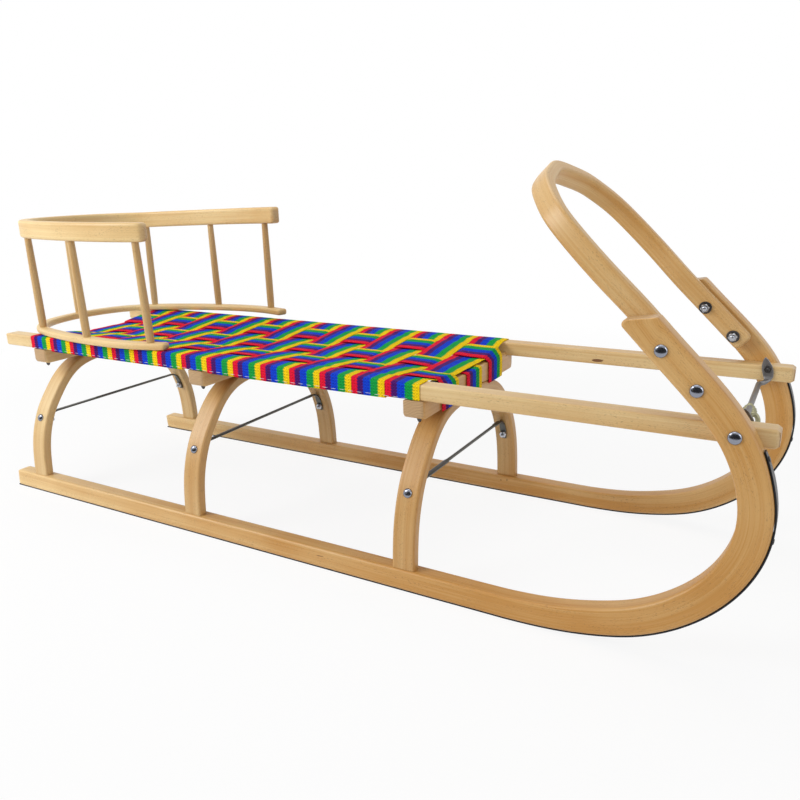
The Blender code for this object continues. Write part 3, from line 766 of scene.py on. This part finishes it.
# spindles: turned sticks, thicker at the foot, a soft swelling in the middle, leaning to the upper rail
def makeSpindles():
    feet, heads = backLine(0.0), backLine(backLook["splay"])
    half = len(feet) // 2
    order = np.argsort(feet[half:, 0])

    def onArm(line, x):
        return line[half + int(round(np.interp(x, feet[half:][order, 0], order)))]

    low = backLook["low"][0] + backLook["low"][1]
    high = backLook["high"][0]
    share = np.linspace(0, 1, 60)
    r = backLook["spindleRadius"]
    radius = r * (1.12 - 0.20 * share + 0.05 * np.sin(math.pi * share) - 0.10 * np.exp(-share * 18))
    spots = [(feet[half], heads[half])]
    for n in range(3):
        for way in (1, -1):
            foot, head = np.array(backLook["spindles"][way][n]) - halfLength
            spots.append((onArm(feet, foot) * (1, way), onArm(heads, head) * (1, way)))
    for number, (foot, head) in enumerate(spots):
        start = np.array((*foot, low - 0.0004))
        axis = np.array((*head, high + 0.0004)) - start
        grid = turned(start, axis, coords(share * np.linalg.norm(axis), radius), 20)
        node = "spindle_%d" % (number + 1)
        putWood("turned_" + node, climb(grid), spindleWood, 30 + number, node)


makeBackRail("bottom", backLook["low"], 0.0, 21)
makeBackRail("top", backLook["high"], backLook["splay"], 22)
makeSpindles()
print("seat rails and backrest made")

# tie rods: beaten flat at both ends and bent down the arch's legs
tieLook = {
    "z": 0.1300,
    "tab": [   # height, half width, half thickness
        (0.0970, 0.0040, 0.0011), (0.1050, 0.0052, 0.0011),
        (0.1150, 0.0052, 0.0011), (0.1230, 0.0044, 0.0012)],
    "arm": [   # distance in from the leg, height, half width, half thickness
        (0.0042, 0.1286, 0.0040, 0.0013), (0.0110, 0.1300, 0.0040, 0.0013), (0.0300, 0.1300, 0.0038, 0.0015),
        (0.0340, 0.1300, 0.0024, 0.0021), (0.0500, 0.1300, 0.0022, 0.0022)],
    "longer": 0.0600,   # the flat part's extra length on the right
}


def makeTie(name, x):
    rows = [(archFace(z, -1)[0] - joint - 1.2 * thick, z, wide, thick) for z, wide, thick in tieLook["tab"]]
    reach = archFace(tieLook["z"], -1)[0]
    rows += [(reach - off, z, wide, thick) for off, z, wide, thick in tieLook["arm"]]
    rows += [(-y + (tieLook["longer"] if reach - y > 0.02 else 0), z, wide, thick)
             for y, z, wide, thick in rows[::-1]]
    line = evenly(rows, 400)
    grid = rod(coords(x, line[:, 0], line[:, 1]), (1, 0, 0), line[:, 2], line[:, 3])
    standFor(putMetal("tie_rod_" + name, [grid], rodSteel), "tie_" + name)


for name, x in archPlaces.items():
    makeTie(name, x)

# tow bar: a rod between the rails, bent forward and up into flat plates, with a ring welded on below
towLook = {
    "x": halfLength - 0.0451, "z": 0.2385, "radius": 0.0028, "ring": 0.0100, "plateX": halfLength - 0.0366,
    "bead": {"above": 0.0046, "long": 0.0185, "radius": 0.0014, "swell": 0.0066, "ripple": 0.0003},
    "plate": [   # ahead of the plate's place, distance from the rail, height, half width, half thickness
        (-0.0042, 0.0013, 0.2700, 0.0014, 0.0012), (-0.0038, 0.0013, 0.2685, 0.0028, 0.0012),
        (-0.0020, 0.0013, 0.2610, 0.0060, 0.0012), (-0.0005, 0.0013, 0.2540, 0.0068, 0.0012),
        (0.0008, 0.0016, 0.2470, 0.0060, 0.0013), (0.0006, 0.0032, 0.2425, 0.0042, 0.0018),
        (-0.0030, 0.0072, 0.2395, 0.0036, 0.0029), (-0.0085, 0.0112, 0.2385, 0.0033, 0.0032)],
}


def makeTow():
    flip = (1, -1, 1, 1, 1)
    rows = np.array(towLook["plate"]) * flip + (towLook["plateX"], railIn - joint, 0, 0, 0)
    line = evenly(np.vstack([rows, rows[::-1] * flip]), 300)
    grid = rod(line[:, :3], (1, 0, 0), line[:, 3], line[:, 4], 24)
    standFor(putMetal("tow_rod", [grid], greySteel), "tow_bar")
    turn, angle = circle(64), circle(20)[:, None]
    out = coords(np.cos(turn), 0.0, np.sin(turn))[:, None]
    middle = np.array((towLook["x"], 0, towLook["z"] - 2 * towLook["radius"] - joint - towLook["ring"]))
    u, v = towLook["radius"] * np.cos(angle), towLook["radius"] * np.sin(angle)
    rings = middle + out * (towLook["ring"] + u) + v * np.array((0, 1, 0))
    standFor(putMesh("tow_eye", [{"rings": rings, "loop": True}], weld), "tow_ring")
    # the bead is a lump between rod and ring: a half sine along the height with a small ripple
    bead = towLook["bead"]
    t = np.linspace(0, 1, 30)
    radius = bead["radius"] + bead["swell"] * np.sin(math.pi * t ** 1.1) ** 0.8
    radius += bead["ripple"] * np.sin(t * 41)
    start = (towLook["x"], 0, towLook["z"] + bead["above"])
    putMetal("weld_bead", [turned(start, (0, 0, -1), coords(t * bead["long"], radius), 24)], weld)


makeTow()

# bolts and screws. Horn bolts pass through horn and hoop; the lowest goes through horn, rail and plate.
boltLook = {
    "horn": ((0.4814, 0.3314), (0.5176, 0.2958), (0.5556, 0.2548)),     # x and height on the outer face
    "head": (0.0067, 0.0030), "washer": (0.0080, 0.0012), "nut": (0.0050, 0.0045), "end": (0.0029, 0.0030),
    "plateNut": (0.0040, 0.0020), "plateEnd": (0.0022, 0.0012),
    "plateAt": (-0.0005, 0.0028, 0.2560),       # ahead of the plate's place, off the rail, height
    "leg": {"left": 0.1080, "right": 0.1225}, "legHead": (0.0060, 0.0028), "legNut": (0.0050, 0.0036),
    "legEnd": (0.0026, 0.0042), "tab": 0.0029,  # the tie's tab under a leg's nut, with its gaps
    "shoeScrew": (0.0030, 0.0006),
    "beamScrew": {"ahead": 0.0030, "y": 0.1345, "radius": 0.0032, "height": 0.0060},
    "shoeScrews": (0.2270, 0.1560, 0.0720),      # heights on the bend
}


def nutSet(at, axis, nutSize, endSize):
    at, axis = np.array(at), unit(np.array(axis, float))
    return [nut(at, axis, *nutSize), boltEnd(at + axis * nutSize[1], axis, *endSize)]


def makeBolts(side, way):
    heads, nuts, plates = [], [], []
    axis = np.array((0, way, runnerLook["lean"])) / math.hypot(1, runnerLook["lean"])
    for number, (x, z) in enumerate(boltLook["horn"]):
        outer = np.array((x, way * runnerFace(z), z))
        heads.append(domeHead(outer, axis, *boltLook["head"]))
        if number < 2:
            inner = outer - axis * (runnerLook["wide"] + hoopLook["thick"] + 2 * joint + 0.0001)
            plates.append(washer(inner, -axis, *boltLook["washer"]))
            nuts += nutSet(inner - axis * boltLook["washer"][1], -axis, boltLook["nut"], boltLook["end"])
        else:
            ahead, off, height = boltLook["plateAt"]
            inner = (towLook["plateX"] + ahead, way * (railIn - joint - off), height)
            plates += nutSet(inner, (0, -way, 0), boltLook["plateNut"], boltLook["plateEnd"])
    for x in archPlaces.values():
        y, up = archFace(boltLook["leg"][side], 0)
        middle, up = np.array((x, way * y, boltLook["leg"][side])), up * (1, way, 1)
        heads.append(domeHead(middle + up * archLook["thick"] / 2, up, *boltLook["legHead"]))
        inner = middle - up * (archLook["thick"] / 2 + boltLook["tab"])
        nuts += nutSet(inner, -up, boltLook["legNut"], boltLook["legEnd"])
    putMetal("bolt_heads_" + side, heads, chrome)
    putMetal("bolt_nuts_" + side, nuts, zinc)
    putMetal("bolt_washers_" + side, plates, screwSteel)


def makeScrews(side, way):
    look = boltLook["beamScrew"]
    grids = [domeHead((x + look["ahead"], way * look["y"], beamLook["bottom"]), (0, 0, -1),
                      look["radius"], look["height"]) for x in archPlaces.values()]
    face = underRunner(joint + shoeLook["thick"])
    for height in boltLook["shoeScrews"]:
        k = int(np.argmax(runnerTable[:, 1] > height))
        at = leanIn(face[k:k + 1], way)[0]
        grids.append(domeHead(at, -runnerOver[k], *boltLook["shoeScrew"]))
    putMetal("screws_" + side, grids, screwSteel)


for side, way in (("left", 1), ("right", -1)):
    makeBolts(side, way)
    makeScrews(side, way)
print("ties, tow bar and fasteners made")

# the woven seat: straps across, wrapped round the rails, and straps lengthwise through them
seatLook = {
    "count": 15, "rear": archPlaces["rear"] - 0.0175, "front": archPlaces["front"] + 0.0095,
    "thick": 0.0011, "crossWide": 0.0482, "longWide": 0.0490, "longAt": 0.0744,
    "sag": 0.0090, "endDip": 0.0040, "spread": 0.0012, "bend": 0.0030, "longBend": 0.0035,
    "turnIn": 0.0040,   # from a rail's inner face to where a cross strap starts to lie flat on it
    "wave": 0.0021, "wavePast": 0.0105, "waveFade": 0.0170,     # depth, reach past a long strap, fading
    "edge": 0.0016, "edgeThin": 0.55,           # a strap's border that is thinner, and how thin
    "swap": 0.16,       # share of a cross strap's width in which a long strap changes sides
}
pitch = (seatLook["front"] - seatLook["rear"]) / seatLook["count"]
onRail = railTop + joint + seatLook["thick"] / 2
longPlaces = (-seatLook["longAt"], 0.0, seatLook["longAt"])


# shares of a strap's width at which its surface has points
acrossShares = np.unique(np.r_[np.linspace(0, 1, 11), 0.02, 0.98])


# +1 where a cross strap passes over a long strap, else -1
def passesOver(i, j):
    return np.where((i + j) % 2 == 1, 1, -1)


# height of the seat's middle surface: it hangs between the rails as a parabola, deeper at both ends
def seatHeight(x, y):
    order = (x - seatLook["rear"]) / pitch - 0.5
    near = np.clip(1 - np.minimum(order, seatLook["count"] - 1 - order) / 2, 0, 1)
    return onRail - (seatLook["sag"] + seatLook["endDip"] * near ** 2) * np.clip(1 - (y / railIn) ** 2, 0, 1)


def smoothStep(t):
    t = np.clip(t, 0, 1)
    return t * t * (3 - 2 * t)


# A strap as a closed thin band. `centre` is its middle surface on a grid (along, across), the faces
# lie half the thickness off along its normal, thinner towards the two edges.
def band(centre, width, seed):
    normal = unit(np.cross(np.gradient(centre, axis=0), np.gradient(centre, axis=1)))
    share, thin = acrossShares, seatLook["edgeThin"]
    edge = np.minimum(share, 1 - share) * width
    half = seatLook["thick"] / 2 * (thin + (1 - thin) * np.clip(edge / seatLook["edge"], 0, 1) ** 0.5)
    top, under = centre + normal * half[None, :, None], centre - normal * half[None, :, None]
    rings = np.concatenate([top, under[:, ::-1]], 1)
    run = lengths(centre[:, centre.shape[1] // 2])[:, None] + seed
    field = coords(share[None], run, share[None] * width)
    fields = {"web": np.concatenate([field, field[:, ::-1]], 1)}
    return {"rings": rings, "fields": fields, "length": float(run[-1, 0] - seed)}


# a strap's piece, standing for its CAD node; gives back the strap's length
def putStrap(name, grid):
    item = standFor(putMesh("seat_" + name, [grid], webs, 60), name)
    return grid["length"]


# a corner of a path in a plane, replaced by an arc-like bend of five points
def bendCorners(points, radius):
    p = np.asarray(points, float)
    out = [p[:1]]
    for before, at, after in zip(p[:-2], p[1:-1], p[2:]):
        r = min(radius, 0.45 * np.linalg.norm(at - before), 0.45 * np.linalg.norm(after - at))
        a, b = at + unit(before - at) * r, at + unit(after - at) * r
        t = np.linspace(0, 1, 6)[:, None]
        out.append((1 - t) ** 2 * a + 2 * t * (1 - t) * at + t ** 2 * b)
    return np.concatenate(out + [p[-1:]])


# Cross strap: over the seat its height is the hanging surface plus a wave that is up where it
# passes over a long strap and down where it passes under, weaker towards its own edges; then it
# bends round the rail's corners, down the outer face and in below the rail.
def makeCrossStrap(i):
    x0 = seatLook["rear"] + pitch * i + (pitch - seatLook["crossWide"]) / 2
    x = x0 + acrossShares * seatLook["crossWide"]
    reach = seatLook["longWide"] / 2 + seatLook["wavePast"]
    turn = railIn - seatLook["turnIn"]
    y = np.linspace(-turn, turn, 150)
    wave = sum(passesOver(i, j) * smoothStep((reach - np.abs(y - mid)) / seatLook["waveFade"])
               for j, mid in enumerate(longPlaces))
    crown = 0.55 + 0.45 * np.sin(math.pi * acrossShares) ** 0.7
    z = seatHeight(x[None], y[:, None]) + seatLook["wave"] * wave[:, None] * crown
    # where it passes under, it spreads a little below its neighbours
    spread = x[None] + (acrossShares - 0.5) * 2 * seatLook["spread"] * np.clip(-wave, 0, 1)[:, None]
    out = railOut + joint + seatLook["thick"] / 2
    clear = beamLook["wide"] / 2 + joint
    low = railBottom - joint - seatLook["thick"] / 2
    tail = [(turn, onRail), (out, onRail)]
    if any(x[-1] > a - clear and x[0] < a + clear for a in archPlaces.values()):
        tail += [(out, railBottom + 0.0006)]
    else:
        tail += [(out + 0.0004, low - 0.0012), (railOut - 0.012, low - 0.0002), (railIn + 0.002, low)]
    fine = evenly(bendCorners(tail, seatLook["bend"]), 46, 0.0006)
    side = np.broadcast_to(fine[:, None], (len(fine), len(x), 2))
    seat = coords(y[:, None], z)
    flat = np.concatenate([side[::-1] * (-1, 1), seat, side])
    straight = np.broadcast_to(x, (len(fine), len(x)))
    centre = np.concatenate([np.concatenate([straight, spread, straight])[..., None], flat], -1)
    grid = band(centre, seatLook["crossWide"], i * 0.0113)
    return putStrap("strap_%02d" % (i + 1), grid)


# Long strap: the same hanging surface with the opposite wave, changing sides between two cross
# straps; at both ends it turns down over the crossbeam.
def makeLongStrap(j):
    mid = longPlaces[j]
    y = mid + (acrossShares - 0.5) * seatLook["longWide"]
    x = np.linspace(seatLook["rear"] + 0.0005, seatLook["front"] - 0.0005, 420)
    order = (x - seatLook["rear"]) / pitch
    i = np.clip(np.floor(order), 0, seatLook["count"] - 1).astype(int)
    inStrap = order - i
    swing = smoothStep(np.minimum(inStrap, 1 - inStrap) / seatLook["swap"] * 0.5 + 0.5) * 2 - 1
    first, last = x < seatLook["rear"] + pitch / 2, x > seatLook["front"] - pitch / 2
    swing = np.where(first | last, 1.0, swing)
    crown = 0.60 + 0.40 * np.sin(math.pi * acrossShares) ** 0.7
    z = seatHeight(x[:, None], y[None]) - seatLook["wave"] * (passesOver(i, j) * swing)[:, None] * crown
    thick = seatLook["thick"]
    frontX = archPlaces["front"] + archLook["wide"] / 2 + joint + thick / 2 + 0.0004
    rearX = min(archPlaces["rear"] - archLook["wide"] / 2, seatLook["rear"]) - joint - thick / 2
    onBeam = beamLook["top"] + joint + thick / 2

    def tail(startX, startZ, endX, top, low):
        line = bendCorners([(startX, startZ), (endX, top), (endX, low)], seatLook["longBend"])
        return evenly(line, 34, 0.0008)

    columns = []
    for n in range(len(y)):
        front = tail(x[-1], z[-1, n], frontX, onBeam + 0.0002, beamLook["bottom"] - 0.0015)
        rear = tail(x[0], z[0, n], rearX, min(z[0, n], onBeam + 0.0030), beamLook["bottom"] + 0.0030)
        columns.append(np.concatenate([rear[::-1], coords(x, z[:, n]), front]))
    flat = np.stack(columns, 1)
    grid = band(coords(flat[..., 0], y, flat[..., 1]), seatLook["longWide"], j * 0.0171)
    name = "long_strap_" + ("right", "middle", "left")[j]
    return putStrap(name, grid)


# hem stitches: short flat dashes of thread along both rails, low on the straps' outer faces
stitchLook = {"long": 0.0075, "pitch": 0.0130, "radius": 0.00036, "z": 0.2420, "bow": 0.0003}


def makeStitches(side, way):
    count = int((seatLook["front"] - seatLook["rear"] - 0.006) / stitchLook["pitch"])
    y = way * (railOut + joint + seatLook["thick"] + 0.0002)
    bow = stitchLook["bow"]
    t = np.linspace(0, 1, 7)
    grids = []
    for n in range(count):
        x = seatLook["rear"] + 0.005 + n * stitchLook["pitch"] + t * stitchLook["long"]
        path = coords(x, y + way * bow * np.sin(math.pi * t), stitchLook["z"] + bow * math.sin(n * 2.3))
        r = stitchLook["radius"] * (0.5 + 0.5 * np.sin(math.pi * t))
        grids.append(rod(path, (0, 0, 1), r, r * 0.8, 8))
    putMetal("hem_stitches_" + side, grids, thread)


# small dark marks in the wood: a knot in the left rail, two nail holes and a short crack in the runners
markLook = (    # x, y, z, half length, half height
    (0.3466, railIn, railBottom + 0.0055, 0.0080, 0.0021),
    (0.1896, runnerFace(0.0211, runnerLook["wide"]), 0.0211, 0.0012, 0.0010),
    (0.2001, runnerFace(0.0231, runnerLook["wide"]), 0.0231, 0.0012, 0.0010),
    (0.0712, -runnerFace(0.0190), 0.0190, 0.0060, 0.0005))


def makeMarks():
    t = np.linspace(-1, 1, 13)
    grids = []
    for x, y, z, long, high in markLook:
        path = coords(x + long * t, y, z + 0.15 * high * t)
        wide = high * np.sqrt(1.02 - t ** 2)
        grids.append(rod(path, (0, 0, 1), wide, wide * 0 + 0.00012, 12))
    putMetal("wood_marks", grids, knotWood)


makeMarks()
crossLengths = [makeCrossStrap(i) for i in range(seatLook["count"])]
longLengths = [makeLongStrap(j) for j in range(3)]
makeStitches("left", 1)
makeStitches("right", -1)
print("straps made, across %.3f m, lengthwise %.3f m" % (max(crossLengths), max(longLengths)))


# camera: where it stands, its turn from the side view, its tilt down and its roll, in degrees
cameraLook = {"place": (0.6126, -0.9045, 0.4991), "turn": 29.80, "tilt": 16.58, "roll": -1.37, "lens": 33.67}


# turns and places an object: its directions to the right, up and back, and where it stands
def setPlace(item, axes, at):
    rows = [(*(float(axis[i]) for axis in axes), at[i]) for i in range(3)]
    item.matrix_world = Matrix(rows + [(0, 0, 0, 1)])


def addCamera(look):
    turn, tilt, roll = (math.radians(look[k]) for k in ("turn", "tilt", "roll"))
    right = np.array((math.cos(turn), math.sin(turn), 0.0))
    back = np.array((math.sin(turn) * math.cos(tilt), -math.cos(turn) * math.cos(tilt), math.sin(tilt)))
    up = np.cross(back, right)
    axes = (math.cos(roll) * right + math.sin(roll) * up, math.cos(roll) * up - math.sin(roll) * right, back)
    data = bpy.data.cameras.new("camera")
    data.lens = look["lens"]
    data.sensor_width = 36.0
    data.clip_start = 0.02
    item = addObject("camera", data)
    setPlace(item, axes, look["place"])
    bpy.context.scene.camera = item


# studio: white floor that fades into a white backdrop, a dark card for reflections, soft lamps
studioLook = {
    "size": 12.0,       # from the middle of the floor to its edge
    "card": {"y": -1.05, "from": -1.4, "to": 2.2, "bottom": 0.0, "top": 1.0, "shade": 0.04},
    "floor": 0.90, "near": 0.88, "fadeFrom": 0.6, "fadeTo": 1.7, "ambient": 0.25,
    "lamps": [   # name, place, what it looks at, size, watts
        ("key lamp", (-1.35, -1.45, 1.25), (-0.15, 0.0, 0.2), 1.2, 30),
        ("top lamp", (-0.2, 0.3, 2.6), (0.0, 0.0, 0.2), 2.0, 22),
        ("fill lamp", (2.4, -1.2, 1.2), (0.2, 0.0, 0.2), 1.6, 17)],
}


# 1 where the camera sees the surface, straight or in a reflection or through glass, else 0
def seenShare(tree):
    rays = addNode(tree, "LightPath").outputs
    through = sums(tree, "MAXIMUM", rays["Is Glossy Ray"], rays["Is Transmission Ray"])
    return sums(tree, "MAXIMUM", rays["Is Camera Ray"], through)


# a flat four-cornered piece of the studio
def addSheet(name, corners, finish):
    mesh = bpy.data.meshes.new(name)
    mesh.from_pydata(corners, [], [(0, 1, 2, 3)])
    mesh.materials.append(finish)
    return addObject(name, mesh)


def grey(shade):
    return (shade, shade, shade, 1.0)


def addFloor(look):
    made, tree, shader = newFinish("white floor")
    fill(tree, shader, {"Base Color": grey(look["floor"]), "Roughness": 0.9})
    place = addNode(tree, "TexCoord").outputs["Object"]
    far = addNode(tree, "VectorMath", {0: place}, operation="LENGTH").outputs["Value"]
    share = slope(tree, far, look["fadeFrom"], look["fadeTo"], look["near"], 1.0, "SMOOTHSTEP")
    share = sums(tree, "MULTIPLY", share, seenShare(tree))
    white = addNode(tree, "Emission", {"Color": grey(1.0), "Strength": 1.0}).outputs[0]
    blend = addNode(tree, "MixShader", {0: share, 1: shader.outputs[0], 2: white}).outputs[0]
    fill(tree, tree.nodes["Material Output"], {"Surface": blend})
    size = look["size"]
    corners = [(-size, -size, 0), (size, -size, 0), (size, size, 0), (-size, size, 0)]
    addSheet("floor", corners, made)


# a dark card in front of the sled that only reflections show, as a photographer sets up for metal
def addCard(card):
    made, tree, shader = newFinish("dark card")
    fill(tree, shader, {"Base Color": grey(card["shade"])})
    spots = [("from", "bottom"), ("to", "bottom"), ("to", "top"), ("from", "top")]
    item = addSheet("dark card", [(card[a], card["y"], card[b]) for a, b in spots], made)
    item.visible_camera = item.visible_diffuse = item.visible_transmission = item.visible_shadow = False


def addWorld(look):
    world = bpy.data.worlds.new("studio")
    bpy.context.scene.world = world
    world.use_nodes = True
    tree = world.node_tree
    strength = slope(tree, seenShare(tree), 0.0, 1.0, look["ambient"], 1.0)
    fill(tree, tree.nodes["Background"], {"Color": grey(1.0), "Strength": strength})


def addLamps(look):
    for name, place, target, wide, watts in look["lamps"]:
        data = bpy.data.lights.new(name, "AREA")
        data.shape = "DISK"
        data.size = wide
        data.energy = watts
        back = unit(np.array(place) - np.array(target))
        right = unit(np.cross((0, 0, 1), back))
        setPlace(addObject(name, data), (right, np.cross(back, right), back), place)


addCamera(cameraLook)
addFloor(studioLook)
addCard(studioLook["card"])
addWorld(studioLook)
addLamps(studioLook)
print("camera and studio placed")

scene = bpy.context.scene
scene.view_settings.view_transform = "Standard"
